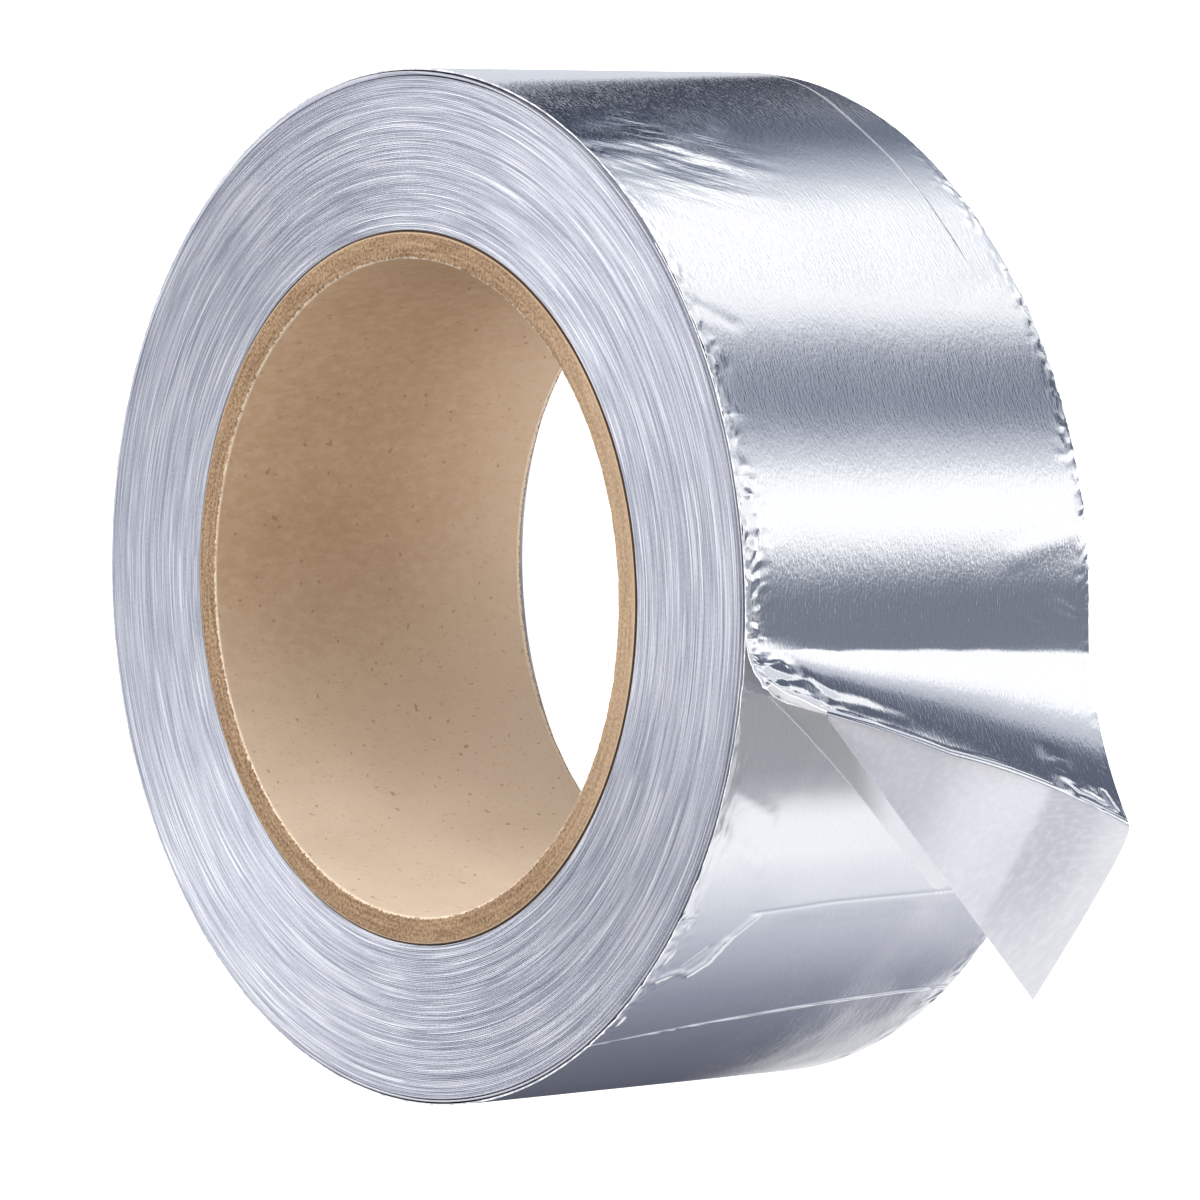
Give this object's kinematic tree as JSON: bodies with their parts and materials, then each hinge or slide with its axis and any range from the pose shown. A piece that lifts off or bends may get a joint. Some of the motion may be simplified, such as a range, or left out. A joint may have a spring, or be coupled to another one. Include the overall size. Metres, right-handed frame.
{
  "type": "roll of aluminium foil tape",
  "caption": "Roll of aluminium foil tape with a paper release liner, wound on a cardboard core, its free end lifting off and the liner's corner folded down.",
  "frame": {"origin": "on the core's axis, half way along the tape's width", "axes": "+Z along the core's axis, out of the near end, which faces up at rest; +X towards the side where the tape's free end lifts off"},
  "size_m": [0.1299, 0.1201, 0.05],
  "materials": {
    "core_board": "raw kraft board with a fibrous cut edge",
    "foil": "bright rolled foil with fine streaks",
    "liner": "smooth coated release paper"
  },
  "bodies": {
    "root": {"core": "core_board", "foil_roll": "foil", "liner_end": "liner"}
  },
  "joints": []
}
